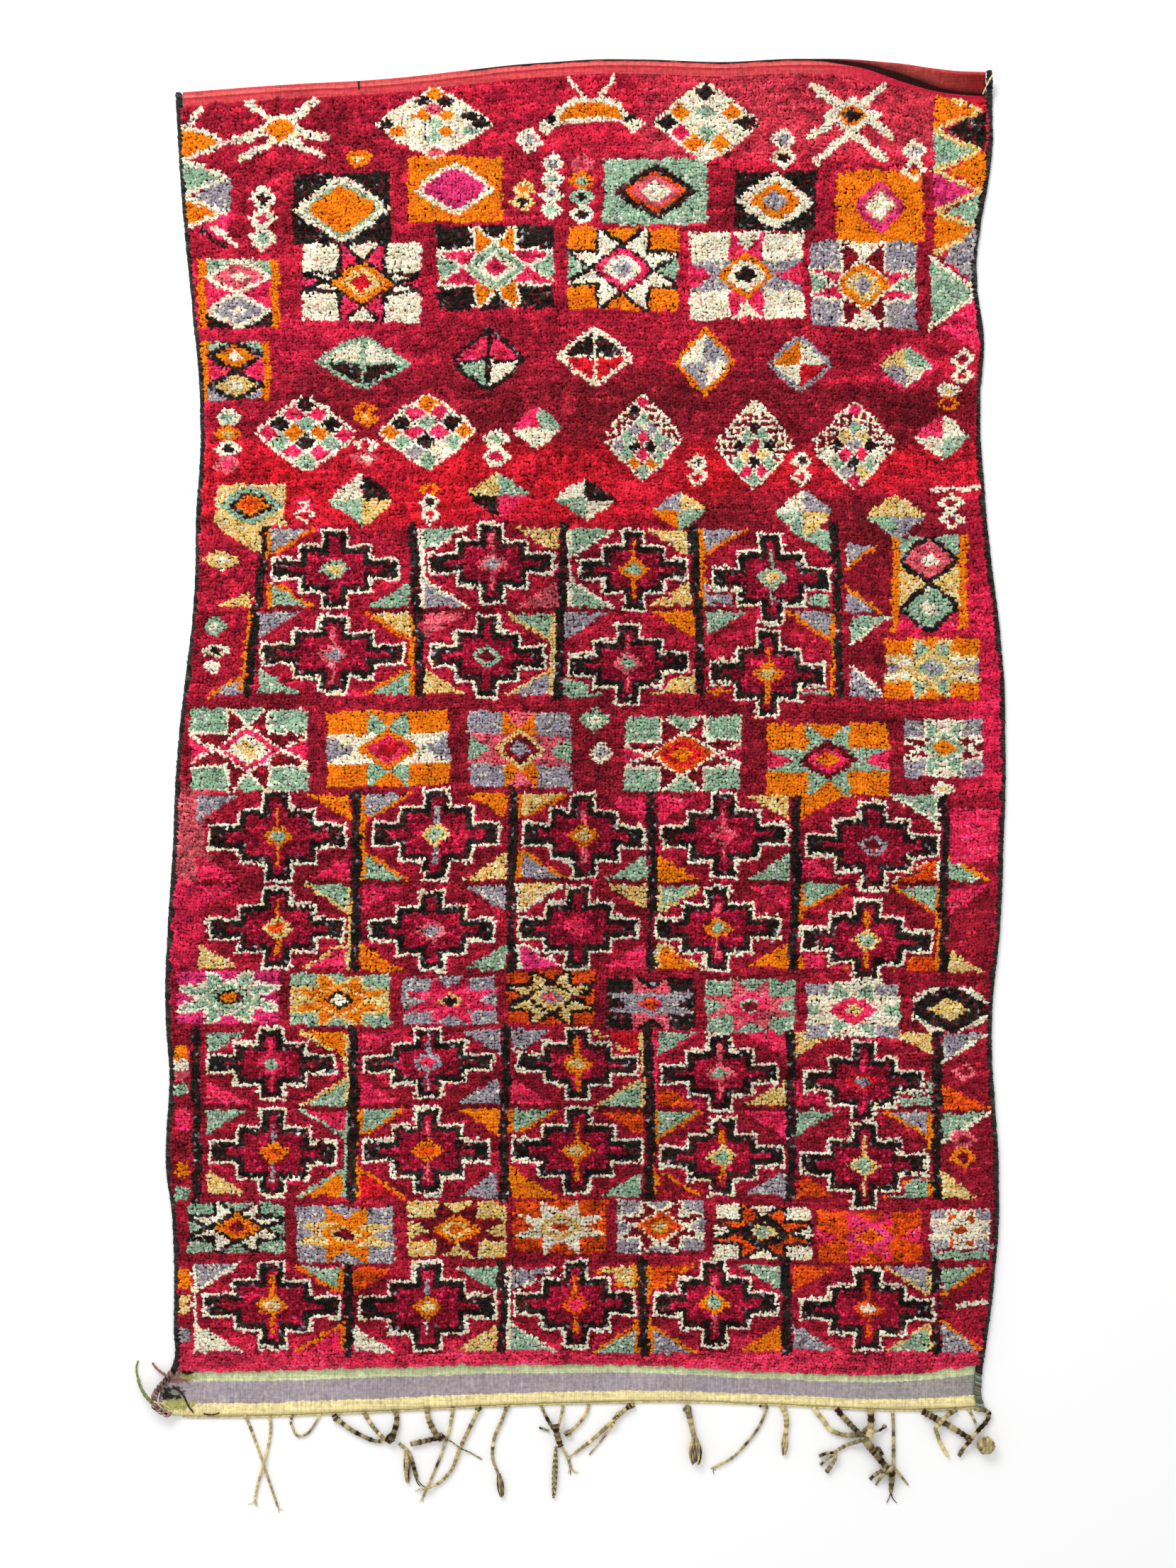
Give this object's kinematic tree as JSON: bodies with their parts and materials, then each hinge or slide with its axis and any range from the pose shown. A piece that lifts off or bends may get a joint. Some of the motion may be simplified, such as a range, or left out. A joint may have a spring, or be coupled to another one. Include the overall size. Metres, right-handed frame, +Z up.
{
  "type": "boujad rug",
  "caption": "Hand-knotted wool rug lying flat, with uneven edges, overcast sides, a flat-woven end with knotted warp fringe, a curled heading and a cupped corner.",
  "frame": {"origin": "on the floor under the middle of the whole rug, fringe included", "axes": "+Z up from the floor through the pile, +Y along the rug's length from the fringed end to the heading, +X across its width"},
  "size_m": [1.6359, 2.7397, 0.0364],
  "materials": {
    "wool_pile": "knotted wool pile in crimson with cream, orange, green, pink, grey and black motifs",
    "binding_yarn": "dark goat hair, overcast",
    "warp_yarn": "undyed twisted wool warp ends"
  },
  "bodies": {
    "root": {"woven_body": "wool_pile", "selvedge_left": "binding_yarn", "selvedge_right": "binding_yarn", "warp_fringe": "warp_yarn"}
  },
  "joints": []
}
